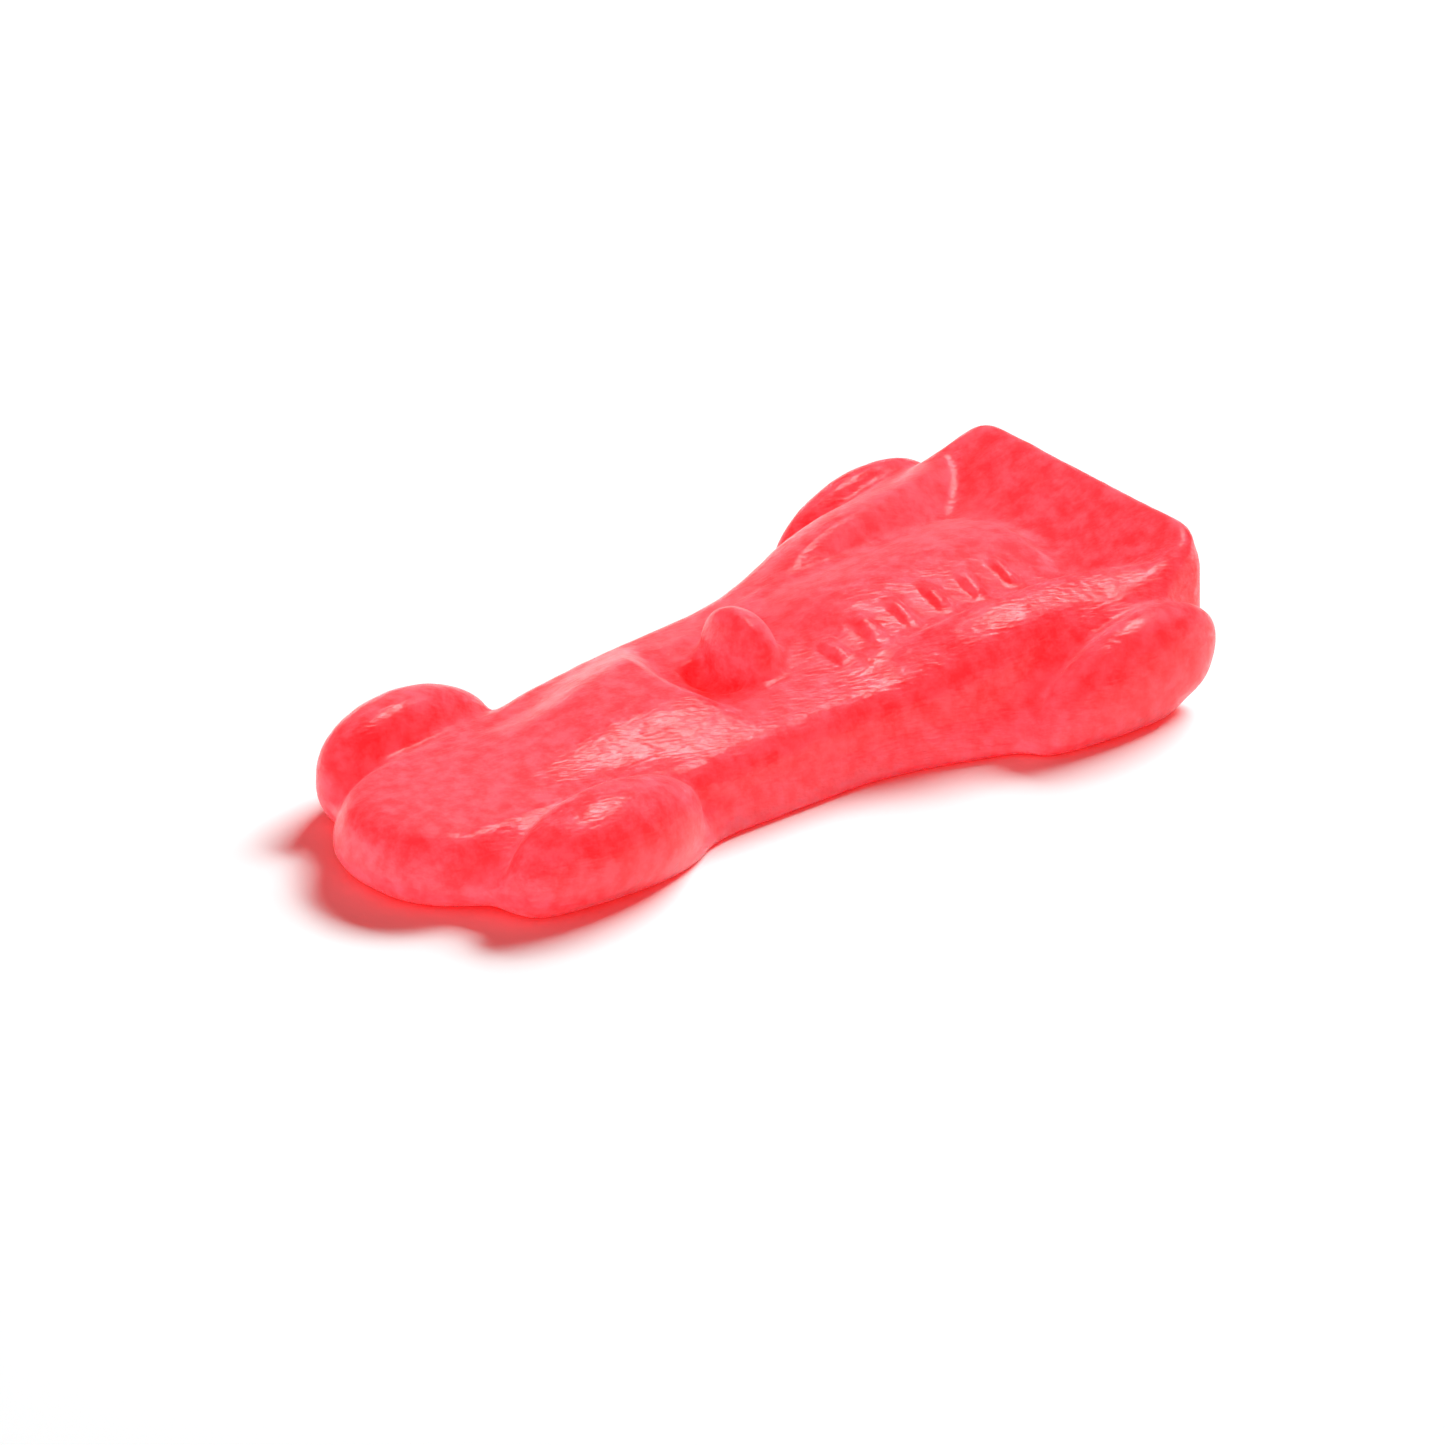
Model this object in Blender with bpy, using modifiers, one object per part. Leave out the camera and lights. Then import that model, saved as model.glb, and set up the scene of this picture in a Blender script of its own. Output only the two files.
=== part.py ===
"""A gummy car: a moulded sweet in the form of an open racing car, one solid with a flat underside.

The form is a field: a function of place that is negative inside the sweet, zero on its skin and
close to the distance from the skin in between. Each feature of the car is a short function of its
own, and soft unions melt them together as the mould does. A rough blank of boxes and balls is
remeshed and its points are then slid onto the skin.

Lengths in the form are millimetres. x runs across the car, z up from the underside, and a station
t runs back from the tip of the nose. The body is LENGTH long, and the rear wheels reach a little
further back. The finished object is in metres, nose towards -Y, with its origin on the underside at
the station MIDDLE, half way along the whole.
"""

import bpy
import numpy as np

NAME = "gummy_car"
MM = 0.001

# Driving dimensions, in millimetres
LENGTH = 48.6
MIDDLE = 24.5
TRIANGLES = 9400

# Plan of the body: a round nose, then the half width at stations along the sides
NOSE_LENGTH = 8.3
NOSE_FULLNESS = 2.45
HALF_WIDTH = [(8.3, 6.0), (13.3, 6.5), (17.3, 7.3), (22.9, 7.45), (26.8, 7.5), (29.3, 7.8),
              (31.5, 8.3), (33.9, 8.95), (37.3, 9.45), (42.3, 9.6), (46.3, 9.0), (48.6, 8.6)]
TAIL_ROUNDING = 1.5
DRAFT = [(0, 8), (38, 8), (46, 0.5), (48.6, 0.5)]
EDGE_RADIUS = [(0, 1.2), (9.3, 1.2), (17.3, 1.0), (34.3, 1.0), (42.3, 0.8), (48.6, 0.7)]

# Side view of the body: its deck, and the crown of the cowl that rises to the cockpit lip
DECK = [(0.3, 3.75), (4.3, 4.05), (8.7, 4.2), (13.3, 4.4), (18.3, 4.8), (23.3, 5.05),
        (26.3, 5.15), (30.3, 5.35), (34.3, 5.55), (40.3, 5.7), (48.6, 5.6)]
DECK_CAMBER = [(0.3, 0.012), (13.3, 0.013), (19.3, 0.019), (27.3, 0.018), (34.3, 0.012), (48.6, 0.012)]
LIP = 19.5
LIP_SWEEP = 0.06
COWL_CROWN = [(0.3, 0.0), (8.3, 0.15), (12.3, 0.5), (15.3, 0.85), (17.2, 0.95), (LIP, 0.95),
              (21.4, 0.0), (48.6, 0.0)]
COWL_HALF_WIDTH = [(0.3, 5.0), (8.3, 4.2), (12.3, 3.8), (15.3, 4.3), (18.3, 5.6), (21.3, 6.0)]

# Side pods: a ridge on each side that swells towards the tail
RIDGE_X = [(29.3, 4.2), (32.2, 4.85), (34.2, 5.45), (37.2, 5.95), (40.3, 6.25), (43.1, 6.9),
           (45.8, 8.1)]
RIDGE_TOP = [(26.0, 3.6), (28.5, 4.4), (30.0, 5.0), (32.2, 5.75), (34.2, 6.4), (37.2, 6.9), (40.3, 7.05),
             (43.1, 6.95), (45.8, 6.8)]

# A low panel on each side wall, arched over the rear wheel, that fades out towards the tail
ARCH = dict(t=40.6, rake=0.45, half_length=6.3, height=6.3, out=0.3, foot=(1.5, 4.0), tail=(42.5, 46))

# Engine cover: a spine down the middle, its half width and how far its sides drop
COVER_TOP = [(25.0, 3.2), (27.0, 5.2), (28.4, 5.5), (30.1, 6.25), (31.8, 6.65), (35.3, 6.85),
             (40.3, 6.95), (42.6, 6.8), (43.7, 6.0), (44.6, 5.2)]
COVER_HALF_WIDTH = [(25.1, 3.6), (29.0, 5.0), (31.3, 4.6), (35.3, 4.15), (42.3, 4.3), (44.3, 3.6)]
COVER_DROP = [(25.1, 1.8), (28.8, 1.6), (31.3, 1.5), (35.3, 1.4), (42.3, 1.4)]

# Headrest: an upright rounded form behind the cockpit
HEADREST = dict(side=1, x=0.1, t=25.0, z=4.9, inner=2.6, outer=2.35, front=1.05, back=1.9,
                top=7.85, deep=3.6, rake=0.0, fullness=2.2, roundness=2.1)

# Cooling bars on the left slope of the engine cover
BARS = 6
BAR_FIRST = 29.0
BAR_PITCH = 2.25
BAR = dict(x=2.9, half_length=0.95, half_width=0.42, height=0.3)

# Cockpit: a shallow bowl between the lip and the headrest, with sloping sides
COCKPIT = dict(x=0.0, t=24.0, half_width=2.05, half_length=2.1, fullness=2.6, edge=1.0, deep=1.0,
               sill=1.9, sill_deep=0.3)

# Tail wing: a ramp up to a thin top edge, across the whole tail
WING = dict(foot=44.1, foot_z=5.5, slope=0.69, top=8.75)

# Wheels: mounds, widest at the height z. Each form reaches inwards, outwards, forwards and back,
# and a rake moves its upper part back
WHEELS = [
    dict(side=1, x=7.1, t=9.7, z=2.1, inner=1.8, outer=2.9, front=5.9, back=6.4, top=5.5,
         deep=2.2, rake=0.1, fullness=2.3, roundness=2.15),
    dict(side=-1, x=7.1, t=9.1, z=2.1, inner=1.8, outer=2.6, front=5.6, back=5.5, top=5.7,
         deep=2.2, rake=-0.1, fullness=2.3, roundness=2.1),
    dict(side=1, x=10.4, t=41.7, z=1.9, inner=1.25, outer=1.85, front=5.5, back=5.6, top=5.9,
         deep=2.05, rake=0.45, fullness=2.15, roundness=2.1),
    dict(side=-1, x=10.4, t=42.1, z=1.9, inner=1.25, outer=1.85, front=5.9, back=5.1, top=6.3,
         deep=2.05, rake=0.2, fullness=2.2, roundness=2.2),
]
WHEEL_BLEND = 1.1

# The foot is rounder under the nose. The centre line strays a little, as soft gum does
FOOT_RADIUS = [(0, 1.7), (9, 1.2), (15, 0.7), (30, 0.6), (42, 0.9), (48.6, 0.7)]
STRAY = [(0, 0.0), (12, -0.1), (25, -0.25), (36, -0.1), (48.6, 0.0)]

# Web of gum in the corners between the body and the wheels, ending short of the tail
WEB_BLEND = 4.5
WEB_END = 4.0
WEB_TOP = [(0, 2.5), (16, 2.2), (30, 2.0), (48.6, 2.2)]

# Boxes along the body of the rough blank
BLANK_BOXES = 15

BODY_COLOUR = (0.93, 0.089, 0.117, 1.0)
ROUGHNESS = 0.42


def smooth_max(a, b, k):
    """The larger of two fields, rounded over a width k where they meet."""
    h = np.clip(0.5 + 0.5 * (a - b) / k, 0, 1)
    return b * (1 - h) + a * h + k * h * (1 - h)


def smooth_min(a, b, k):
    """The smaller of two fields, rounded over a width k where they meet."""
    return -smooth_max(-a, -b, k)


def rounded_cut(a, b, radius):
    """What two solids share, with the edge between them rounded to a radius."""
    outside = np.hypot(np.maximum(radius + a, 0), np.maximum(radius + b, 0))
    return np.minimum(-radius, np.maximum(a, b)) + outside


def ramp(start, end, value):
    """Rises smoothly from 0 at start to 1 at end."""
    u = np.clip((value - start) / (end - start), 0, 1)
    return u * u * (3 - 2 * u)


def through(points, t):
    """A smooth curve through (station, value) points that never overshoots them."""
    s, v = np.array(points, float).T
    step = np.diff(s)
    slope = np.diff(v) / step
    lean = np.concatenate([slope[:1], np.zeros(len(s) - 2), slope[-1:]])
    for i in range(1, len(s) - 1):
        if slope[i - 1] * slope[i] > 0:
            before = 2 * step[i] + step[i - 1]
            after = step[i] + 2 * step[i - 1]
            lean[i] = (before + after) / (before / slope[i - 1] + after / slope[i])
    t = np.clip(t, s[0], s[-1])
    i = np.clip(np.searchsorted(s, t, side="right") - 1, 0, len(s) - 2)
    u = (t - s[i]) / step[i]
    ends = (1 + 2 * u) * (1 - u) ** 2 * v[i] + u * u * (3 - 2 * u) * v[i + 1]
    return ends + step[i] * u * (1 - u) * ((1 - u) * lean[i] - u * lean[i + 1])


def oval(across, along, half_width, half_length, fullness):
    """About the distance inside a superellipse; negative outside it."""
    a = np.abs(across) / half_width
    b = np.abs(along) / half_length
    q = (a ** fullness + b ** fullness + 1e-12) ** (1 / fullness)
    slope_a = a ** (fullness - 1) * q ** (1 - fullness) / half_width
    slope_b = b ** (fullness - 1) * q ** (1 - fullness) / half_length
    return (1 - q) / np.sqrt(slope_a ** 2 + slope_b ** 2 + 1e-6)


def inside_plan(x, t):
    """Distance inside the body's outline as seen from above."""
    nose = oval(x, np.minimum(t - NOSE_LENGTH, 0), HALF_WIDTH[0][1], NOSE_LENGTH, NOSE_FULLNESS)
    sides = np.where(t > NOSE_LENGTH, through(HALF_WIDTH, t) - np.abs(x), nose)
    return smooth_min(sides, LENGTH - t, TAIL_ROUNDING)


def deck(x, t):
    """Height of the body's top, with the cowl."""
    across = np.abs(x) / through(COWL_HALF_WIDTH, t)
    crown = through(COWL_CROWN, t - LIP_SWEEP * x ** 2) * (1 - ramp(0.35, 1.1, across))
    return through(DECK, t) + crown - through(DECK_CAMBER, t) * x ** 2


def ridge(x, t):
    """Height of the side pods: steep on the inner side, gently falling on the outer side."""
    off = np.abs(x) - through(RIDGE_X, t)
    outer = 0.5 * (np.hypot(off, 1) - 1) + 0.015 * off ** 2
    inner = 0.75 * np.clip(-off, 0, None) ** 1.25
    return through(RIDGE_TOP, t) - np.where(off > 0, outer, inner)


def cover(x, t):
    """Height of the engine cover."""
    half_width = through(COVER_HALF_WIDTH, t)
    q = np.abs(x) / half_width
    side = through(COVER_DROP, t) * np.clip(q, 0, 1) ** 1.8
    return through(COVER_TOP, t) - side - 1.6 * np.clip(q - 1, 0, None) * half_width


def bars(x, t):
    """Height of the row of cooling bars above the cover."""
    nearest = np.clip(np.round((t - BAR_FIRST) / BAR_PITCH), 0, BARS - 1)
    along = (t - BAR_FIRST - nearest * BAR_PITCH) / BAR["half_width"]
    across = (x - BAR["x"]) / BAR["half_length"]
    return BAR["height"] * np.exp(-along ** 4 - across ** 4)


def cockpit(x, t):
    """Depth of the bowl in front of the headrest."""
    inside = oval(x - COCKPIT["x"], t - COCKPIT["t"], COCKPIT["half_width"],
                  COCKPIT["half_length"], COCKPIT["fullness"])
    sill = COCKPIT["sill_deep"] * ramp(-COCKPIT["sill"], -0.6, inside)
    before_headrest = 1 - ramp(COCKPIT["t"] - 0.5, COCKPIT["t"] + 3.0, t)
    return sill * before_headrest + COCKPIT["deep"] * ramp(-0.2, COCKPIT["edge"], inside)


def top(x, t):
    """Height of the body's upper surface, without wheels and wing."""
    height = smooth_max(deck(x, t), ridge(x, t), 0.9)
    height = smooth_max(height, cover(x, t), 1.1)
    return height + bars(x, t) - cockpit(x, t)


def arch(t, z):
    """How far the panel over each rear wheel stands out from the side wall."""
    along = t - ARCH["t"] - ARCH["rake"] * z
    inside = oval(along, z, ARCH["half_length"], ARCH["height"], 2.2)
    fade = ramp(*ARCH["foot"], z) * (1 - ramp(*ARCH["tail"], t))
    return ARCH["out"] * ramp(-0.5, 0.3, inside) * fade


def wall(x, t, z):
    """The side wall all round, which leans inwards by the draft in degrees."""
    lean = np.radians(through(DRAFT, t))
    return z * np.sin(lean) - (inside_plan(x, t) + arch(t, z)) * np.cos(lean)


def body(x, t, z):
    """The body with its cowl, cockpit, side pods and engine cover."""
    above = 0.85 * (z - top(x, t))
    return rounded_cut(above, wall(x, t, z), through(EDGE_RADIUS, t))


def wing(x, t, z):
    """The tail wing."""
    rise = WING["foot_z"] + WING["slope"] * (t - WING["foot"])
    above = 0.85 * (z - smooth_min(rise, WING["top"] + 0 * t, 0.9))
    return rounded_cut(above, wall(x, t, z), 0.8)


def mound(x, t, z, form):
    """A rounded mound, fuller than an ellipsoid."""
    fullness, roundness = form["fullness"], form["roundness"]
    off = form["side"] * x - form["x"]
    along = t - form["t"] - form["rake"] * (z - form["z"])
    width = np.where(off > 0, form["outer"], form["inner"])
    height = np.where(z > form["z"], form["top"] - form["z"], form["deep"])
    length = np.where(along > 0, form["back"], form["front"])
    a = np.abs(off) / width
    b = np.abs(along) / length
    c = np.abs(z - form["z"]) / height
    section = (a ** fullness + c ** fullness + 1e-12) ** (1 / fullness)
    q = (section ** roundness + b ** roundness + 1e-12) ** (1 / roundness)
    share = (section / q) ** (roundness - 1)
    slope_a = share * (a / section) ** (fullness - 1) / width
    slope_c = share * (c / section) ** (fullness - 1) / height
    slope_b = (b / q) ** (roundness - 1) / length
    return (q - 1) / np.sqrt(slope_a ** 2 + slope_b ** 2 + slope_c ** 2 + 1e-6)


def plan_of_wheel(x, t, form):
    """Distance inside a wheel's outline as seen from above."""
    across = form["side"] * x - form["x"]
    return oval(across, t - form["t"], form["outer"] - 0.5, form["front"], 2.4)


def web(x, t, z):
    """The low web of gum that fills the corners between the body and the wheels."""
    body_plan = inside_plan(x, t)
    corners = [smooth_max(body_plan, plan_of_wheel(x, t, form), WEB_BLEND) for form in WHEELS]
    outline = smooth_min(np.maximum.reduce(corners), LENGTH - WEB_END - t, 1.5)
    return rounded_cut(z - through(WEB_TOP, t), 0.3 * z - 0.95 * outline + 0.1, 0.9)


def sweet(x, t, z):
    """The field of the whole sweet."""
    x = x - through(STRAY, t)
    shape = smooth_min(body(x, t, z), wing(x, t, z), 1.0)
    shape = smooth_min(shape, mound(x, t, z, HEADREST), 0.8)
    for form in WHEELS:
        shape = smooth_min(shape, mound(x, t, z, form), WHEEL_BLEND)
    shape = smooth_min(shape, web(x, t, z), 1.0)
    return rounded_cut(shape, -z, through(FOOT_RADIUS, t))


def slide_to_skin(points, rounds, longest=0.4):
    """Moves points in millimetres along the field's slope until they lie on the skin."""
    reach = 0.01
    for _ in range(rounds):
        x, t, z = points.T
        value = sweet(x, t, z)
        slope = np.stack([sweet(x + reach, t, z) - sweet(x - reach, t, z),
                          sweet(x, t + reach, z) - sweet(x, t - reach, z),
                          sweet(x, t, z + reach) - sweet(x, t, z - reach)], 1) / (2 * reach)
        move = -(value / np.maximum((slope ** 2).sum(1), 0.05))[:, None] * slope
        size = np.linalg.norm(move, axis=1, keepdims=True)
        points = points + move * np.minimum(1, longest / np.maximum(size, 1e-9))
    return points


def settle(mesh, rounds):
    """Slides a mesh's vertices onto the skin, and lays the underside flat."""
    count = len(mesh.vertices)
    flat = np.empty(count * 3)
    mesh.vertices.foreach_get("co", flat)
    points = flat.reshape(-1, 3) / MM + (0, MIDDLE, 0)
    points = slide_to_skin(points, rounds)
    points[points[:, 2] < 0.02, 2] = 0
    mesh.vertices.foreach_set("co", ((points - (0, MIDDLE, 0)) * MM).ravel())
    mesh.update()


def through_modifier(mesh, kind, **settings):
    """A copy of the mesh after one modifier."""
    holder = bpy.data.objects.new("holder", mesh)
    bpy.context.scene.collection.objects.link(holder)
    modifier = holder.modifiers.new(kind.title(), kind)
    for setting, value in settings.items():
        setattr(modifier, setting, value)
    graph = bpy.context.evaluated_depsgraph_get()
    result = bpy.data.meshes.new_from_object(holder.evaluated_get(graph))
    bpy.data.objects.remove(holder)
    bpy.data.meshes.remove(mesh)
    return result


def add_box(low, high):
    """A box between two corners given as (x, t, z) in millimetres."""
    size = [b - a for a, b in zip(low, high)]
    middle = [(a + b) / 2 for a, b in zip(low, high)]
    place = (middle[0] * MM, (middle[1] - MIDDLE) * MM, middle[2] * MM)
    bpy.ops.mesh.primitive_cube_add(size=MM, location=place, scale=size)
    return bpy.context.object


def add_ball(form):
    """A ball stretched to the size of one wheel."""
    bpy.ops.mesh.primitive_uv_sphere_add(segments=32, ring_count=16, radius=MM)
    ball = bpy.context.object
    ball.location = (form["side"] * form["x"] * MM, (form["t"] - MIDDLE) * MM, form["z"] * MM)
    ball.scale = (form["outer"], form["front"], form["top"] - form["z"])
    return ball


def blank():
    """The rough shape before moulding, as one mesh: boxes for the body, balls for the mounds."""
    stations = np.linspace(1.5, LENGTH - 0.3, BLANK_BOXES + 1)
    widths = through(HALF_WIDTH, stations) * np.minimum(1, 0.5 + stations / 12) - 0.5
    boxes = [add_box((-w, start, 0.2), (w, end + 0.1, through(DECK, start) - 0.4))
             for start, end, w in zip(stations, stations[1:], widths)]
    tail = add_box((-8.2, LENGTH - 2.2, 5), (8.2, LENGTH - 0.3, 7.8))
    balls = [add_ball(form) for form in (*WHEELS, HEADREST)]
    with bpy.context.temp_override(active_object=tail, object=tail,
                                   selected_editable_objects=[tail, *boxes, *balls]):
        bpy.ops.object.join()
    mesh = tail.data.copy()
    mesh.transform(tail.matrix_world)
    bpy.data.objects.remove(tail)
    return mesh


def moulded(finest, triangles):
    """The sweet's mesh: remeshed ever finer and settled, then thinned to a number of triangles."""
    mesh = blank()
    for voxel in (0.6, 0.45, finest):
        mesh = through_modifier(mesh, "REMESH", mode="VOXEL", voxel_size=voxel * MM)
        settle(mesh, 6)
        mesh = through_modifier(mesh, "SMOOTH", factor=0.5, iterations=3)
        settle(mesh, 6)
    mesh = through_modifier(mesh, "TRIANGULATE")
    ratio = triangles / len(mesh.polygons)
    mesh = through_modifier(mesh, "DECIMATE", ratio=ratio)
    settle(mesh, 6)
    return mesh


def gum():
    """The material: milky red-pink gum with a satin skin."""
    material = bpy.data.materials.new("gum")
    material.use_nodes = True
    skin = material.node_tree.nodes["Principled BSDF"]
    skin.inputs["Base Color"].default_value = BODY_COLOUR
    skin.inputs["Roughness"].default_value = ROUGHNESS
    skin.inputs["Metallic"].default_value = 0.0
    material.diffuse_color = BODY_COLOUR
    return material


def clear_scene():
    for thing in list(bpy.data.objects):
        bpy.data.objects.remove(thing)


def main():
    clear_scene()
    mesh = moulded(0.36, TRIANGLES)
    mesh.name = NAME
    mesh.shade_smooth()
    mesh.materials.clear()
    mesh.materials.append(gum())
    collection = bpy.data.collections.new(NAME)
    bpy.context.scene.collection.children.link(collection)
    collection.objects.link(bpy.data.objects.new(NAME, mesh))


if __name__ == "__main__":
    main()
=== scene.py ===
"""Looks of the gummy car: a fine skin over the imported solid, milky gum, studio light and camera.

The form repeats the solid's own named values and functions: a field that is negative inside the
sweet and zero on its skin. Lengths in the form are millimetres: x across, z up, and a station t
that runs back from the tip of the nose. Everything placed in the scene is in metres.
"""

import math

import bpy
import numpy as np
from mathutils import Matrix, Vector, noise


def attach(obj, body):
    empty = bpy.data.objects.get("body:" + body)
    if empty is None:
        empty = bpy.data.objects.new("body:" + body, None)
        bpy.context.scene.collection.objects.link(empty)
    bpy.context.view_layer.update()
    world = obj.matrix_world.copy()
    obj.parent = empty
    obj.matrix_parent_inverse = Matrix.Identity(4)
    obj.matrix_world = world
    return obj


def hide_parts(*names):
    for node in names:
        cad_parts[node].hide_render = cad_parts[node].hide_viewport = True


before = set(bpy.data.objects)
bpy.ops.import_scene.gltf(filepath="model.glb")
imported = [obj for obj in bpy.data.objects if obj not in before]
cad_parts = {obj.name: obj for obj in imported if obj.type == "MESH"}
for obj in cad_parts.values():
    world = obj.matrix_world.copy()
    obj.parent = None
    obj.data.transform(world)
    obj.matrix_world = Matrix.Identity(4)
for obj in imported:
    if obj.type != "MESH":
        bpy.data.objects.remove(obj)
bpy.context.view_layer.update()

NODE = "gummy_car"
MM = 0.001

# Driving dimensions, in millimetres
LENGTH = 48.6
MIDDLE = 24.5

# Plan of the body: a round nose, then the half width at stations along the sides
NOSE_LENGTH = 8.3
NOSE_FULLNESS = 2.45
HALF_WIDTH = [(8.3, 6.0), (13.3, 6.5), (17.3, 7.3), (22.9, 7.45), (26.8, 7.5), (29.3, 7.8),
              (31.5, 8.3), (33.9, 8.95), (37.3, 9.45), (42.3, 9.6), (46.3, 9.0), (48.6, 8.6)]
TAIL_ROUNDING = 1.5
DRAFT = [(0, 8), (38, 8), (46, 0.5), (48.6, 0.5)]
EDGE_RADIUS = [(0, 1.2), (9.3, 1.2), (17.3, 1.0), (34.3, 1.0), (42.3, 0.8), (48.6, 0.7)]
# A height above a sloping top overstates the distance to it: this share of it counts
HEIGHT_SHARE = 0.85

# Side view of the body: its deck, and the crown of the cowl that rises to the cockpit lip
DECK = [(0.3, 3.75), (4.3, 4.05), (8.7, 4.2), (13.3, 4.4), (18.3, 4.8), (23.3, 5.05),
        (26.3, 5.15), (30.3, 5.35), (34.3, 5.55), (40.3, 5.7), (48.6, 5.6)]
DECK_CAMBER = [(0.3, 0.012), (13.3, 0.013), (19.3, 0.019), (27.3, 0.018), (34.3, 0.012),
               (48.6, 0.012)]
LIP = 19.5
LIP_SWEEP = 0.06
COWL_CROWN = [(0.3, 0.0), (8.3, 0.15), (12.3, 0.5), (15.3, 0.85), (17.2, 0.95), (LIP, 0.95),
              (21.4, 0.0), (48.6, 0.0)]
COWL_HALF_WIDTH = [(0.3, 5.0), (8.3, 4.2), (12.3, 3.8), (15.3, 4.3), (18.3, 5.6), (21.3, 6.0)]
# Shares of that half width between which the crown runs out
COWL_FADE = (0.35, 1.1)

# Side pods: a ridge on each side that swells towards the tail
RIDGE_X = [(29.3, 4.2), (32.2, 4.85), (34.2, 5.45), (37.2, 5.95), (40.3, 6.25), (43.1, 6.9),
           (45.8, 8.1)]
RIDGE_TOP = [(26.0, 3.6), (28.5, 4.4), (30.0, 5.0), (32.2, 5.75), (34.2, 6.4), (37.2, 6.9),
             (40.3, 7.05), (43.1, 6.95), (45.8, 6.8)]
# They fall away gently outwards, and inwards steeply, in a curve of a power of the distance
RIDGE_SIDES = dict(outer_fall=0.5, outer_bend=0.015, inner_fall=0.75, inner_power=1.25)
RIDGE_BLEND = 0.9

# A low panel on each side wall, arched over the rear wheel. It rises between two distances inside
# its outline, fades in between two heights at its foot, and out between two stations at its tail
ARCH = dict(t=40.6, rake=0.45, half_length=6.3, height=6.3, fullness=2.2, edge=(-0.5, 0.3),
            out=0.3, foot=(1.5, 4.0), tail=(42.5, 46))

# Engine cover: a spine down the middle, its half width and how far its sides drop
COVER_TOP = [(25.0, 3.2), (27.0, 5.2), (28.4, 5.5), (30.1, 6.25), (31.8, 6.65), (35.3, 6.85),
             (40.3, 6.95), (42.6, 6.8), (43.7, 6.0), (44.6, 5.2)]
COVER_HALF_WIDTH = [(25.1, 3.6), (29.0, 5.0), (31.3, 4.6), (35.3, 4.15), (42.3, 4.3), (44.3, 3.6)]
COVER_DROP = [(25.1, 1.8), (28.8, 1.6), (31.3, 1.5), (35.3, 1.4), (42.3, 1.4)]
# The power of the curve in which they drop, and their slope past the half width
COVER_POWER = 1.8
COVER_SKIRT = 1.6
COVER_BLEND = 1.1

# Headrest: an upright rounded form behind the cockpit
HEADREST = dict(side=1, x=0.1, t=25.0, z=4.9, inner=2.6, outer=2.35, front=1.05, back=1.9,
                top=7.85, deep=3.6, rake=0.0, fullness=2.2, roundness=2.1)
HEADREST_BLEND = 0.8

# Cooling bars on the left slope of the engine cover
BARS = 6
BAR_FIRST = 29.0
BAR_PITCH = 2.25
BAR = dict(x=2.9, half_length=0.95, half_width=0.42, height=0.3, fullness=4)

# Cockpit: a shallow bowl between the lip and the headrest. Its side and the sill round it slope
# down between two distances inside its outline, and the sill runs out between two stations
COCKPIT = dict(x=0.0, t=24.0, half_width=2.05, half_length=2.1, fullness=2.6, side=(-0.2, 1.0),
               deep=1.0, sill=(-1.9, -0.6), sill_deep=0.3, sill_end=(23.5, 27.0))

# Tail wing: a ramp up to a thin top edge, across the whole tail
WING = dict(foot=44.1, foot_z=5.5, slope=0.69, top=8.75, top_rounding=0.9, edge_radius=0.8)
WING_BLEND = 1.0

# Wheels: mounds, widest at the height z. Each form reaches inwards, outwards, forwards and back,
# and a rake moves its upper part back
WHEELS = [
    dict(side=1, x=7.1, t=9.7, z=2.1, inner=1.8, outer=2.9, front=5.9, back=6.4, top=5.5,
         deep=2.2, rake=0.1, fullness=2.3, roundness=2.15),
    dict(side=-1, x=7.1, t=9.1, z=2.1, inner=1.8, outer=2.6, front=5.6, back=5.5, top=5.7,
         deep=2.2, rake=-0.1, fullness=2.3, roundness=2.1),
    dict(side=1, x=10.4, t=41.7, z=1.9, inner=1.25, outer=1.85, front=5.5, back=5.6, top=5.9,
         deep=2.05, rake=0.45, fullness=2.15, roundness=2.1),
    dict(side=-1, x=10.4, t=42.1, z=1.9, inner=1.25, outer=1.85, front=5.9, back=5.1, top=6.3,
         deep=2.05, rake=0.2, fullness=2.2, roundness=2.2),
]
WHEEL_BLEND = 1.1

# The foot is rounder under the nose. The centre line strays a little, as soft gum does
FOOT_RADIUS = [(0, 1.7), (9, 1.2), (15, 0.7), (30, 0.6), (42, 0.9), (48.6, 0.7)]
STRAY = [(0, 0.0), (12, -0.1), (25, -0.25), (36, -0.1), (48.6, 0.0)]

# Web of gum in the corners between the body and the wheels, ending short of the tail. It fills
# the corners of an outline in which the wheels are a little slimmer, and its side leans inwards
WEB = dict(corner=4.5, end=4.0, end_rounding=1.5, slimmer=0.5, wheel_fullness=2.4,
           rise_share=0.3, plan_share=0.95, inset=0.1, edge_radius=0.9)
WEB_TOP = [(0, 2.5), (16, 2.2), (30, 2.0), (48.6, 2.2)]
WEB_BLEND = 1.0

# ---- Looks ---------------------------------------------------------------------------------

# Gum: its deep and its milky colour, how far towards the milky one the clouds in it go, and
# the range of the cloud pattern over which they do
# The milky colour is also the colour that the painted bounce light at the foot fades towards
DEEP_COLOUR = (0.80, 0.019, 0.028, 1)
MILKY_COLOUR = (0.80, 0.085, 0.116, 1)
CLOUDS = 0.52
CLOUD_RANGE = (0.36, 0.64)
# Painted light: the gum is painted paler towards its foot, standing in for light bounced up from
# the floor: how much, and up to what height in millimetres
PAINTED_FOOT_LIGHT = 0.54
PAINTED_FOOT_LIGHT_TOP = 3.4
# How far red, green and blue light spread inside it, as shares of a length in millimetres
SPREAD_RADIUS = (1.0, 0.05, 0.06)
SPREAD_SCALE = 8.0
REFRACTION = 1.45
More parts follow.
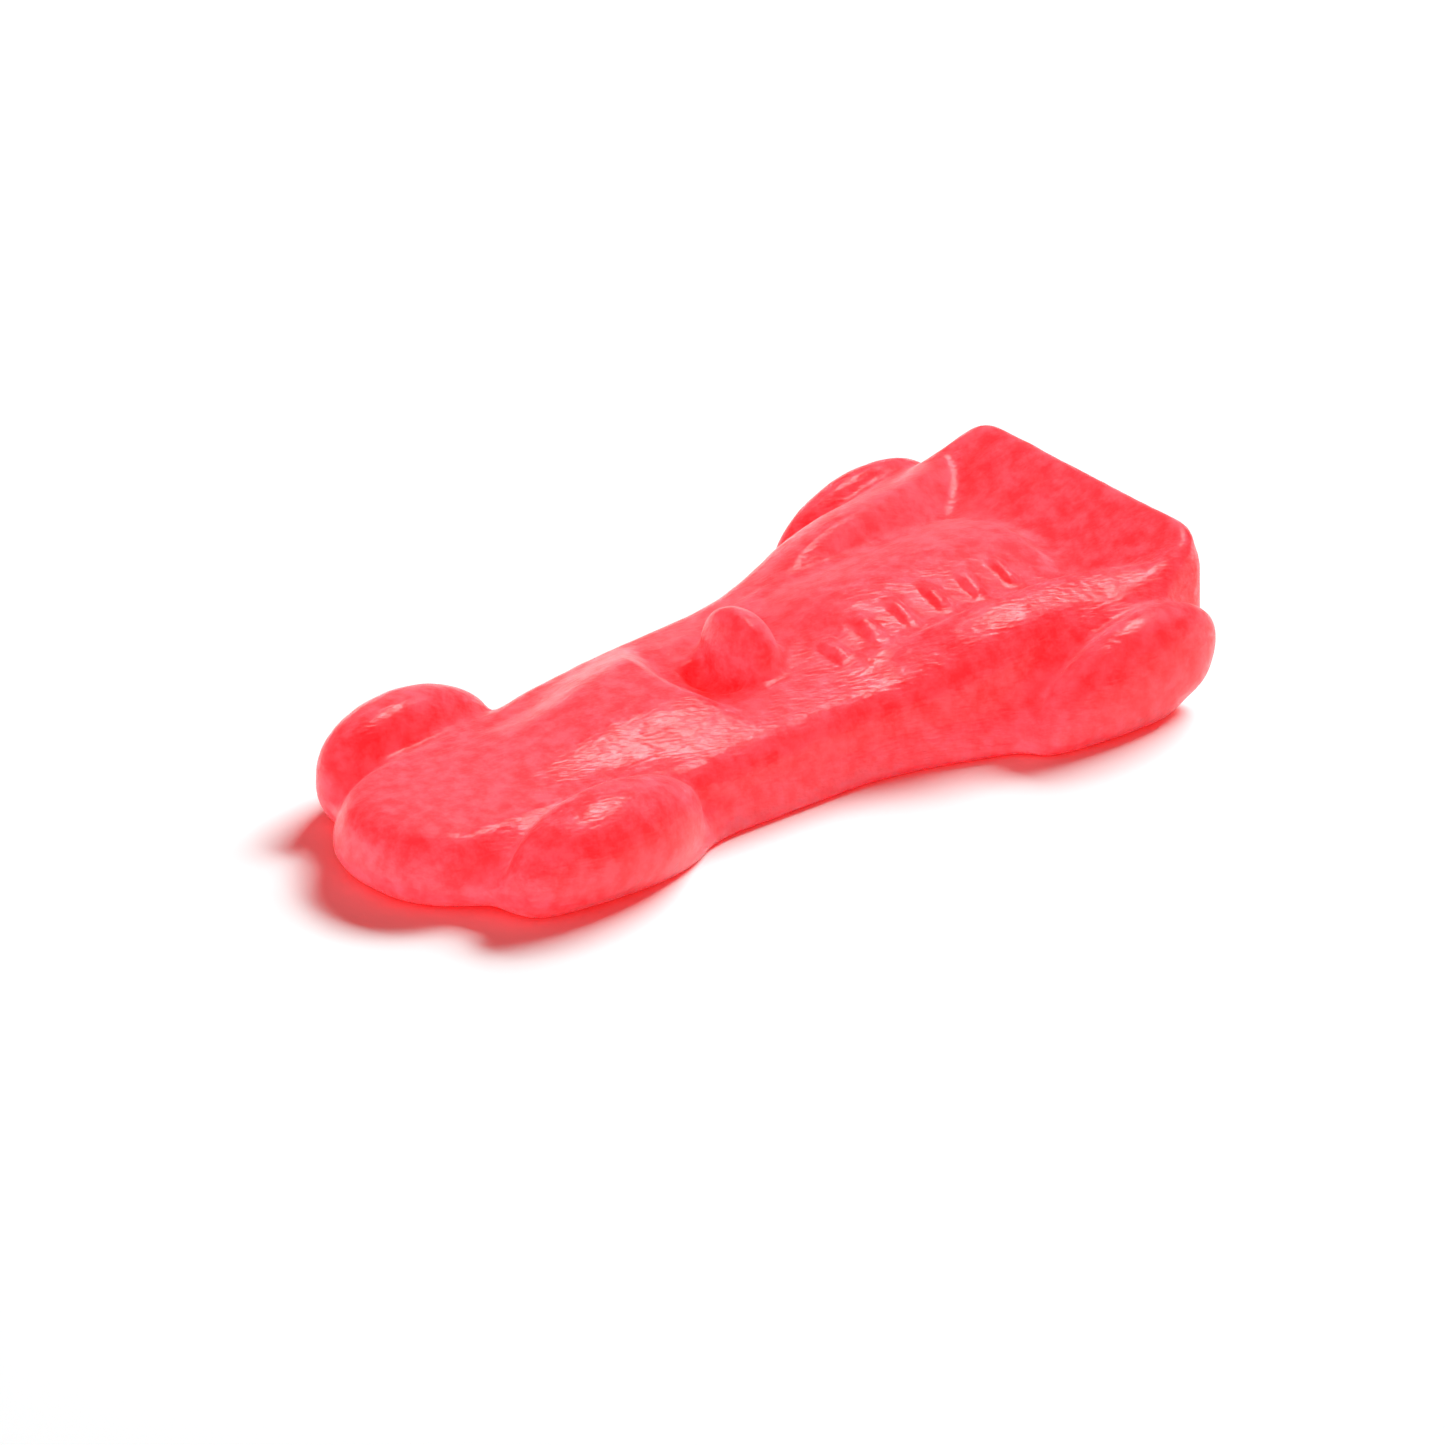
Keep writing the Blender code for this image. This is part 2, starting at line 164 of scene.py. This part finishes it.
# Skin: satin, a little smoother where the gum is cloudy, with a faint pink bloom
ROUGHNESS = (0.27, 0.20)
ROUGHNESS_RANGE = (0.3, 0.7)
GLOSS = 0.5
BLOOM = 0.08
BLOOM_ROUGHNESS = 0.4
BLOOM_COLOUR = (1.0, 0.70, 0.74, 1)
# Patterns: swells per millimetre, levels of finer detail and how strong these are
CLOUD_PATTERN = (1.0, 3, 0.6)
DIMPLE_PATTERN = (1.6, 2, 0.5)
WRINKLE_PATTERN = (1.0, 1, 0.5)
# Dimples and wrinkles of the skin: depth in millimetres, and for the wrinkles how long the
# pattern is across, along and upwards, and its turn from the car's length in degrees
DIMPLE_DEPTH = 0.025
WRINKLE_DEPTH = 0.055
WRINKLE_SIZE = (0.18, 0.60, 0.18)
WRINKLE_TURN = -22

# Floor: side in metres and reflectance
FLOOR_SIZE = 4
FLOOR_WHITE = 0.9

# Lights: direction, distance and size in metres, light as the strength of a sun
KEY_FROM = (-0.19, 0.76, 0.62)
KEY_DISTANCE = 1.6
KEY_SIZE = (0.90, 0.45)
KEY_LIGHT = 6.1
# The share of its red that goes through the gum and tints the shadow
RED_THROUGH = 0.44
SOFTBOX_FROM = (-0.05, 0.35, 0.93)
SOFTBOX_DISTANCE = 0.5
SOFTBOX_SIZE = (0.20, 0.14)
SOFTBOX_LIGHT = 1.25
# The fill is a sun, and its size is the angle in degrees across which its light comes
FILL_FROM = (0.22, -0.96, 0.17)
FILL_STRENGTH = 8.0
FILL_SIZE = 80
SKY_STRENGTH = 0.10

# Camera: angles in degrees, aim right and up of the origin in millimetres, distance in metres
VIEW_AZIMUTH = 49.5
VIEW_ELEVATION = 26.85
AIM = (-0.478, 1.559)
DISTANCE = 3.333
# Focal length and sensor width in millimetres, and how far the camera sees in metres
LENS = 1641
SENSOR = 36
SIGHT = 100


# ---- Form ----------------------------------------------------------------------------------

# These keep roots and slopes off zero
TINY = 1e-12
LEAST_SLOPE = 1e-6


def smooth_max(a, b, k):
    """The larger of two fields, rounded over a width k where they meet."""
    h = np.clip(0.5 + 0.5 * (a - b) / k, 0, 1)
    return b * (1 - h) + a * h + k * h * (1 - h)


def smooth_min(a, b, k):
    """The smaller of two fields, rounded over a width k where they meet."""
    return -smooth_max(-a, -b, k)


def rounded_cut(a, b, radius):
    """What two solids share, with the edge between them rounded to a radius."""
    outside = np.hypot(np.maximum(radius + a, 0), np.maximum(radius + b, 0))
    return np.minimum(-radius, np.maximum(a, b)) + outside


def ramp(start, end, value):
    """Rises smoothly from 0 at start to 1 at end."""
    u = np.clip((value - start) / (end - start), 0, 1)
    return u * u * (3 - 2 * u)


def through(points, t):
    """A smooth curve through (station, value) points that never overshoots them."""
    s, v = np.array(points, float).T
    step = np.diff(s)
    slope = np.diff(v) / step
    lean = np.concatenate([slope[:1], np.zeros(len(s) - 2), slope[-1:]])
    for i in range(1, len(s) - 1):
        if slope[i - 1] * slope[i] > 0:
            before = 2 * step[i] + step[i - 1]
            after = step[i] + 2 * step[i - 1]
            lean[i] = (before + after) / (before / slope[i - 1] + after / slope[i])
    t = np.clip(t, s[0], s[-1])
    i = np.clip(np.searchsorted(s, t, side="right") - 1, 0, len(s) - 2)
    u = (t - s[i]) / step[i]
    ends = (1 + 2 * u) * (1 - u) ** 2 * v[i] + u * u * (3 - 2 * u) * v[i + 1]
    return ends + step[i] * u * (1 - u) * ((1 - u) * lean[i] - u * lean[i + 1])


def oval(across, along, half_width, half_length, fullness):
    """About the distance inside a superellipse; negative outside it."""
    a = np.abs(across) / half_width
    b = np.abs(along) / half_length
    q = (a ** fullness + b ** fullness + TINY) ** (1 / fullness)
    slope_a = a ** (fullness - 1) * q ** (1 - fullness) / half_width
    slope_b = b ** (fullness - 1) * q ** (1 - fullness) / half_length
    return (1 - q) / np.sqrt(slope_a ** 2 + slope_b ** 2 + LEAST_SLOPE)


def inside_plan(x, t):
    """Distance inside the body's outline as seen from above."""
    nose = oval(x, np.minimum(t - NOSE_LENGTH, 0), HALF_WIDTH[0][1], NOSE_LENGTH, NOSE_FULLNESS)
    sides = np.where(t > NOSE_LENGTH, through(HALF_WIDTH, t) - np.abs(x), nose)
    return smooth_min(sides, LENGTH - t, TAIL_ROUNDING)


def deck(x, t):
    """Height of the body's top, with the cowl."""
    across = np.abs(x) / through(COWL_HALF_WIDTH, t)
    crown = through(COWL_CROWN, t - LIP_SWEEP * x ** 2) * (1 - ramp(*COWL_FADE, across))
    return through(DECK, t) + crown - through(DECK_CAMBER, t) * x ** 2


def ridge(x, t):
    """Height of the side pods: steep on the inner side, gently falling on the outer side."""
    off = np.abs(x) - through(RIDGE_X, t)
    fall, bend = RIDGE_SIDES["outer_fall"], RIDGE_SIDES["outer_bend"]
    outer = fall * (np.hypot(off, 1) - 1) + bend * off ** 2
    inner = RIDGE_SIDES["inner_fall"] * np.clip(-off, 0, None) ** RIDGE_SIDES["inner_power"]
    return through(RIDGE_TOP, t) - np.where(off > 0, outer, inner)


def cover(x, t):
    """Height of the engine cover."""
    half_width = through(COVER_HALF_WIDTH, t)
    q = np.abs(x) / half_width
    side = through(COVER_DROP, t) * np.clip(q, 0, 1) ** COVER_POWER
    skirt = COVER_SKIRT * np.clip(q - 1, 0, None) * half_width
    return through(COVER_TOP, t) - side - skirt


def bars(x, t):
    """Height of the row of cooling bars above the cover."""
    nearest = np.clip(np.round((t - BAR_FIRST) / BAR_PITCH), 0, BARS - 1)
    along = (t - BAR_FIRST - nearest * BAR_PITCH) / BAR["half_width"]
    across = (x - BAR["x"]) / BAR["half_length"]
    return BAR["height"] * np.exp(-along ** BAR["fullness"] - across ** BAR["fullness"])


def cockpit(x, t):
    """Depth of the bowl in front of the headrest."""
    inside = oval(x - COCKPIT["x"], t - COCKPIT["t"], COCKPIT["half_width"],
                  COCKPIT["half_length"], COCKPIT["fullness"])
    sill = COCKPIT["sill_deep"] * ramp(*COCKPIT["sill"], inside)
    before_headrest = 1 - ramp(*COCKPIT["sill_end"], t)
    return sill * before_headrest + COCKPIT["deep"] * ramp(*COCKPIT["side"], inside)


def top(x, t):
    """Height of the body's upper surface, without wheels and wing."""
    height = smooth_max(deck(x, t), ridge(x, t), RIDGE_BLEND)
    height = smooth_max(height, cover(x, t), COVER_BLEND)
    return height + bars(x, t) - cockpit(x, t)


def arch(t, z):
    """How far the panel over each rear wheel stands out from the side wall."""
    along = t - ARCH["t"] - ARCH["rake"] * z
    inside = oval(along, z, ARCH["half_length"], ARCH["height"], ARCH["fullness"])
    fade = ramp(*ARCH["foot"], z) * (1 - ramp(*ARCH["tail"], t))
    return ARCH["out"] * ramp(*ARCH["edge"], inside) * fade


def wall(x, t, z):
    """The side wall all round, which leans inwards by the draft in degrees."""
    lean = np.radians(through(DRAFT, t))
    return z * np.sin(lean) - (inside_plan(x, t) + arch(t, z)) * np.cos(lean)


def body(x, t, z):
    """The body with its cowl, cockpit, side pods and engine cover."""
    above = HEIGHT_SHARE * (z - top(x, t))
    return rounded_cut(above, wall(x, t, z), through(EDGE_RADIUS, t))


def wing(x, t, z):
    """The tail wing."""
    rise = WING["foot_z"] + WING["slope"] * (t - WING["foot"])
    above = HEIGHT_SHARE * (z - smooth_min(rise, WING["top"], WING["top_rounding"]))
    return rounded_cut(above, wall(x, t, z), WING["edge_radius"])


def mound(x, t, z, form):
    """A rounded mound, fuller than an ellipsoid."""
    fullness, roundness = form["fullness"], form["roundness"]
    off = form["side"] * x - form["x"]
    along = t - form["t"] - form["rake"] * (z - form["z"])
    width = np.where(off > 0, form["outer"], form["inner"])
    height = np.where(z > form["z"], form["top"] - form["z"], form["deep"])
    length = np.where(along > 0, form["back"], form["front"])
    a = np.abs(off) / width
    b = np.abs(along) / length
    c = np.abs(z - form["z"]) / height
    section = (a ** fullness + c ** fullness + TINY) ** (1 / fullness)
    q = (section ** roundness + b ** roundness + TINY) ** (1 / roundness)
    share = (section / q) ** (roundness - 1)
    slope_a = share * (a / section) ** (fullness - 1) / width
    slope_c = share * (c / section) ** (fullness - 1) / height
    slope_b = (b / q) ** (roundness - 1) / length
    return (q - 1) / np.sqrt(slope_a ** 2 + slope_b ** 2 + slope_c ** 2 + LEAST_SLOPE)


def plan_of_wheel(x, t, form):
    """Distance inside a wheel's outline in the web, as seen from above."""
    across = form["side"] * x - form["x"]
    half_width = form["outer"] - WEB["slimmer"]
    return oval(across, t - form["t"], half_width, form["front"], WEB["wheel_fullness"])


def web(x, t, z):
    """The low web of gum that fills the corners between the body and the wheels."""
    body_plan = inside_plan(x, t)
    corners = [smooth_max(body_plan, plan_of_wheel(x, t, form), WEB["corner"]) for form in WHEELS]
    end = LENGTH - WEB["end"] - t
    outline = smooth_min(np.maximum.reduce(corners), end, WEB["end_rounding"])
    side = WEB["rise_share"] * z - WEB["plan_share"] * outline + WEB["inset"]
    return rounded_cut(z - through(WEB_TOP, t), side, WEB["edge_radius"])


def sweet(x, t, z):
    """The field of the whole sweet."""
    x = x - through(STRAY, t)
    shape = smooth_min(body(x, t, z), wing(x, t, z), WING_BLEND)
    shape = smooth_min(shape, mound(x, t, z, HEADREST), HEADREST_BLEND)
    for form in WHEELS:
        shape = smooth_min(shape, mound(x, t, z, form), WHEEL_BLEND)
    shape = smooth_min(shape, web(x, t, z), WEB_BLEND)
    return rounded_cut(shape, -z, through(FOOT_RADIUS, t))


# ---- The skin ------------------------------------------------------------------------------

# Remeshing steps in millimetres, from coarse to fine; the last mesh is then split once more
VOXELS = (0.6, 0.36)
ROUNDS = 10
LAST_ROUNDS = 6

# Points slide along the field's slope, which is read this far to both sides of each
SLIDE_REACH = 0.01
LONGEST_SLIDE = 0.4
LEAST_SQUARE_SLOPE = 0.05
FLAT_BELOW = 0.02

# Unevenness of the skin: (size in mm of one swell, its height in mm). It starts from the flat
# underside and has its full height from the upper of two heights
SWELLS = ((6.5, 0.07), (2.6, 0.035), (1.05, 0.022))
SWELLS_START = (0.0, 1.2)
SWELL_REACH = 0.02
SEED = Vector((3.7, 1.9, 8.4))
SHORTEST = 1e-9


def skin_slope(x, t, z, reach):
    """The field's slope along x, t and z."""
    return np.stack([sweet(x + reach, t, z) - sweet(x - reach, t, z),
                     sweet(x, t + reach, z) - sweet(x, t - reach, z),
                     sweet(x, t, z + reach) - sweet(x, t, z - reach)], 1) / (2 * reach)


def slide_to_skin(points, rounds):
    """Moves points along the field's slope until they lie on the skin."""
    for _ in range(rounds):
        x, t, z = points.T
        value = sweet(x, t, z)
        slope = skin_slope(x, t, z, SLIDE_REACH)
        steepness = np.maximum((slope ** 2).sum(1), LEAST_SQUARE_SLOPE)
        move = -(value / steepness)[:, None] * slope
        size = np.linalg.norm(move, axis=1, keepdims=True)
        points = points + move * np.minimum(1, LONGEST_SLIDE / np.maximum(size, SHORTEST))
    return points


def read_points(mesh):
    """The mesh's vertices as (x, t, z) in millimetres."""
    flat = np.empty(len(mesh.vertices) * 3)
    mesh.vertices.foreach_get("co", flat)
    return flat.reshape(-1, 3) / MM + (0, MIDDLE, 0)


def write_points(mesh, points):
    """Puts the mesh's vertices at (x, t, z) in millimetres."""
    mesh.vertices.foreach_set("co", ((points - (0, MIDDLE, 0)) * MM).ravel())
    mesh.update()


def settle(mesh, rounds):
    """Slides a mesh's vertices onto the skin, and lays the underside flat."""
    points = slide_to_skin(read_points(mesh), rounds)
    points[points[:, 2] < FLAT_BELOW, 2] = 0
    write_points(mesh, points)


def through_modifier(mesh, kind, **settings):
    """A copy of the mesh after one modifier."""
    holder = bpy.data.objects.new("holder", mesh)
    bpy.context.scene.collection.objects.link(holder)
    modifier = holder.modifiers.new(kind.title(), kind)
    for setting, value in settings.items():
        setattr(modifier, setting, value)
    graph = bpy.context.evaluated_depsgraph_get()
    result = bpy.data.meshes.new_from_object(holder.evaluated_get(graph))
    bpy.data.objects.remove(holder)
    return result


def roughen(mesh):
    """Gives the skin the slight unevenness of moulded gum, and keeps the underside flat."""
    points = read_points(mesh)
    slope = skin_slope(*points.T, SWELL_REACH)
    normal = slope / np.maximum(np.linalg.norm(slope, axis=1, keepdims=True), SHORTEST)
    lift = np.zeros(len(points))
    for size, height in SWELLS:
        values = [noise.noise(Vector(point) / size + SEED) for point in points]
        lift += height * np.array(values)
    lift *= ramp(*SWELLS_START, points[:, 2])
    write_points(mesh, points + normal * lift[:, None])


def skin_object():
    """The sweet's visible piece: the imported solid's mesh, made fine and slid onto the skin."""
    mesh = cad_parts[NODE].data.copy()
    for voxel in VOXELS:
        mesh = through_modifier(mesh, "REMESH", mode="VOXEL", voxel_size=voxel * MM)
        settle(mesh, ROUNDS)
    mesh = through_modifier(mesh, "SUBSURF", levels=1, render_levels=1)
    settle(mesh, LAST_ROUNDS)
    roughen(mesh)
    mesh.name = "gum_skin"
    mesh.materials.clear()
    mesh.shade_smooth()
    piece = bpy.data.objects.new("gum_skin", mesh)
    bpy.context.scene.collection.objects.link(piece)
    return piece


# ---- Materials -----------------------------------------------------------------------------


def new_material(name):
    """A material with an empty node tree: (material, nodes, links)."""
    material = bpy.data.materials.new(name)
    material.use_nodes = True
    tree = material.node_tree
    tree.nodes.clear()
    return material, tree.nodes, tree.links


def noise_node(nodes, links, vector, scale, detail, roughness):
    """A noise pattern: swells per unit, levels of finer detail and how strong these are."""
    node = nodes.new("ShaderNodeTexNoise")
    node.inputs["Scale"].default_value = scale
    node.inputs["Detail"].default_value = detail
    node.inputs["Roughness"].default_value = roughness
    links.new(vector, node.inputs["Vector"])
    return node.outputs["Fac"]


def spread(nodes, links, value, start, end, low, high):
    """Takes a value from the range start to end over to the range low to high."""
    node = nodes.new("ShaderNodeMapRange")
    node.inputs["From Min"].default_value = start
    node.inputs["From Max"].default_value = end
    node.inputs["To Min"].default_value = low
    node.inputs["To Max"].default_value = high
    links.new(value, node.inputs["Value"])
    return node.outputs["Result"]


def bump_node(nodes, links, height, depth, normal=None):
    """Relief of a depth in millimetres, on top of the relief in another normal if given."""
    node = nodes.new("ShaderNodeBump")
    node.inputs["Strength"].default_value = 1.0
    node.inputs["Distance"].default_value = depth * MM
    links.new(height, node.inputs["Height"])
    if normal:
        links.new(normal, node.inputs["Normal"])
    return node.outputs["Normal"]


def place_in_millimetres(nodes, links):
    """The place in the piece that is shaded, in millimetres."""
    coordinate = nodes.new("ShaderNodeTexCoord")
    place = nodes.new("ShaderNodeVectorMath")
    place.operation = "SCALE"
    place.inputs["Scale"].default_value = 1 / MM
    links.new(coordinate.outputs["Object"], place.inputs[0])
    return place.outputs["Vector"]


def gum_colour(nodes, links, place, clouds):
    """Deep red, milkier in the clouds, and painted paler towards the foot as if lit by light
    bounced up from the floor.
    """
    axes = nodes.new("ShaderNodeSeparateXYZ")
    links.new(place, axes.inputs[0])
    # The clouds' own milkiness, plus painted light towards the foot
    milk_and_painted_foot_light = nodes.new("ShaderNodeMath")
    milk_and_painted_foot_light.operation = "ADD"
    links.new(spread(nodes, links, clouds, *CLOUD_RANGE, 0, CLOUDS), milk_and_painted_foot_light.inputs[0])
    # Painted light: paler towards the foot, in place of light bounced up from the floor
    foot = spread(nodes, links, axes.outputs["Z"], 0, PAINTED_FOOT_LIGHT_TOP, PAINTED_FOOT_LIGHT, 0)
    links.new(foot, milk_and_painted_foot_light.inputs[1])
    colour = nodes.new("ShaderNodeMix")
    colour.data_type = "RGBA"
    colour.inputs["A"].default_value = DEEP_COLOUR
    colour.inputs["B"].default_value = MILKY_COLOUR
    links.new(milk_and_painted_foot_light.outputs["Value"], colour.inputs["Factor"])
    return colour.outputs["Result"]


def gum_relief(nodes, links, place):
    """Dimples, and fine wrinkles on top of them."""
    along = nodes.new("ShaderNodeMapping")
    along.vector_type = "TEXTURE"
    along.inputs["Rotation"].default_value = (0, 0, math.radians(WRINKLE_TURN))
    along.inputs["Scale"].default_value = WRINKLE_SIZE
    links.new(place, along.inputs["Vector"])
    wrinkles = noise_node(nodes, links, along.outputs["Vector"], *WRINKLE_PATTERN)
    dimples = noise_node(nodes, links, place, *DIMPLE_PATTERN)
    normal = bump_node(nodes, links, dimples, DIMPLE_DEPTH)
    return bump_node(nodes, links, wrinkles, WRINKLE_DEPTH, normal)


def gum():
    """Milky red-pink gum: light spreads inside it, its skin is satin and finely wrinkled."""
    material, nodes, links = new_material("gum")
    place = place_in_millimetres(nodes, links)
    clouds = noise_node(nodes, links, place, *CLOUD_PATTERN)
    skin = nodes.new("ShaderNodeBsdfPrincipled")
    skin.inputs["Subsurface Weight"].default_value = 1.0
    skin.inputs["Subsurface Radius"].default_value = SPREAD_RADIUS
    skin.inputs["Subsurface Scale"].default_value = SPREAD_SCALE * MM
    skin.inputs["IOR"].default_value = REFRACTION
    skin.inputs["Specular IOR Level"].default_value = GLOSS
    skin.inputs["Sheen Weight"].default_value = BLOOM
    skin.inputs["Sheen Roughness"].default_value = BLOOM_ROUGHNESS
    skin.inputs["Sheen Tint"].default_value = BLOOM_COLOUR
    roughness = spread(nodes, links, clouds, *ROUGHNESS_RANGE, *ROUGHNESS)
    links.new(gum_colour(nodes, links, place, clouds), skin.inputs["Base Color"])
    links.new(roughness, skin.inputs["Roughness"])
    links.new(gum_relief(nodes, links, place), skin.inputs["Normal"])
    output = nodes.new("ShaderNodeOutputMaterial")
    links.new(skin.outputs["BSDF"], output.inputs["Surface"])
    return material


def floor_paper():
    """Plain white paper."""
    material, nodes, links = new_material("paper")
    skin = nodes.new("ShaderNodeBsdfDiffuse")
    skin.inputs["Color"].default_value = (FLOOR_WHITE, FLOOR_WHITE, FLOOR_WHITE, 1)
    output = nodes.new("ShaderNodeOutputMaterial")
    links.new(skin.outputs["BSDF"], output.inputs["Surface"])
    return material


# ---- Studio --------------------------------------------------------------------------------


def add_floor():
    """A plain pale floor."""
    bpy.ops.mesh.primitive_plane_add(size=FLOOR_SIZE)
    floor = bpy.context.object
    floor.name = "floor"
    floor.data.materials.append(floor_paper())
    return floor


def add_lamp(lamp, place):
    """Hangs a lamp at a place and points it at the car; a sun shines from that direction."""
    holder = bpy.data.objects.new(lamp.name, lamp)
    holder.location = place
    holder.rotation_mode = "QUATERNION"
    holder.rotation_quaternion = Vector(place).to_track_quat("Z", "Y")
    bpy.context.scene.collection.objects.link(holder)
    return holder


def add_box_light(name, direction, distance, size, light, colour=(1, 1, 1)):
    """A rectangular soft box; its light is given as that of a sun of the same effect."""
    lamp = bpy.data.lights.new(name, "AREA")
    lamp.shape = "RECTANGLE"
    lamp.size, lamp.size_y = size
    lamp.color = colour
    lamp.energy = light * math.pi * distance ** 2
    return add_lamp(lamp, Vector(direction).normalized() * distance)


def only(name, *things):
    """A collection of a few things, for a lamp that lights or is stopped by these alone."""
    few = bpy.data.collections.new(name)
    for thing in things:
        few.objects.link(thing)
    return few


def add_key(floor):
    """The key light, from behind and above. Part of its red goes right through the gum."""
    box = (KEY_FROM, KEY_DISTANCE, KEY_SIZE, KEY_LIGHT)
    key = add_box_light("key", *box, (1 - RED_THROUGH, 1, 1))
    glow = add_box_light("key_through_gum", *box, (RED_THROUGH, 0, 0))
    glow.light_linking.blocker_collection = only("stops_key_through_gum", floor)
    for light in (key, glow):
        light.visible_glossy = False


def add_softbox():
    """A soft box overhead and a little behind, which gives the skin its sheen."""
    softbox = add_box_light("softbox", SOFTBOX_FROM, SOFTBOX_DISTANCE, SOFTBOX_SIZE,
                            SOFTBOX_LIGHT)
    softbox.visible_diffuse = False


def add_fill(piece):
    """Broad light from low in front, on the gum alone."""
    lamp = bpy.data.lights.new("fill", "SUN")
    lamp.energy = FILL_STRENGTH
    lamp.angle = math.radians(FILL_SIZE)
    fill = add_lamp(lamp, FILL_FROM)
    fill.visible_glossy = False
    fill.light_linking.receiver_collection = only("lit_by_fill", piece)


def add_sky():
    """Even white light from all round."""
    world = bpy.data.worlds.new("studio")
    world.use_nodes = True
    background = world.node_tree.nodes["Background"]
    background.inputs["Color"].default_value = (1, 1, 1, 1)
    background.inputs["Strength"].default_value = SKY_STRENGTH
    bpy.context.scene.world = world


def add_camera():
    """A long lens from the front left, as in the photograph."""
    azimuth, elevation = math.radians(VIEW_AZIMUTH), math.radians(VIEW_ELEVATION)
    right = Vector((math.cos(azimuth), math.sin(azimuth), 0))
    towards = Vector((math.sin(azimuth) * math.cos(elevation),
                      -math.cos(azimuth) * math.cos(elevation), math.sin(elevation)))
    up = towards.cross(right)
    lens = bpy.data.cameras.new("camera")
    lens.sensor_width = SENSOR
    lens.lens = LENS
    lens.clip_end = SIGHT
    camera = bpy.data.objects.new("camera", lens)
    camera.location = (right * AIM[0] + up * AIM[1]) * MM + towards * DISTANCE
    camera.rotation_mode = "QUATERNION"
    camera.rotation_quaternion = towards.to_track_quat("Z", "Y")
    bpy.context.scene.collection.objects.link(camera)
    bpy.context.scene.camera = camera


def main():
    """The gummy car's skin in place of the solid, and the studio round it."""
    piece = skin_object()
    piece.data.materials.append(gum())
    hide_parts(NODE)
    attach(piece, "root")
    floor = add_floor()
    add_key(floor)
    add_softbox()
    add_fill(piece)
    add_sky()
    add_camera()
    bpy.context.scene.view_settings.view_transform = "Standard"


main()
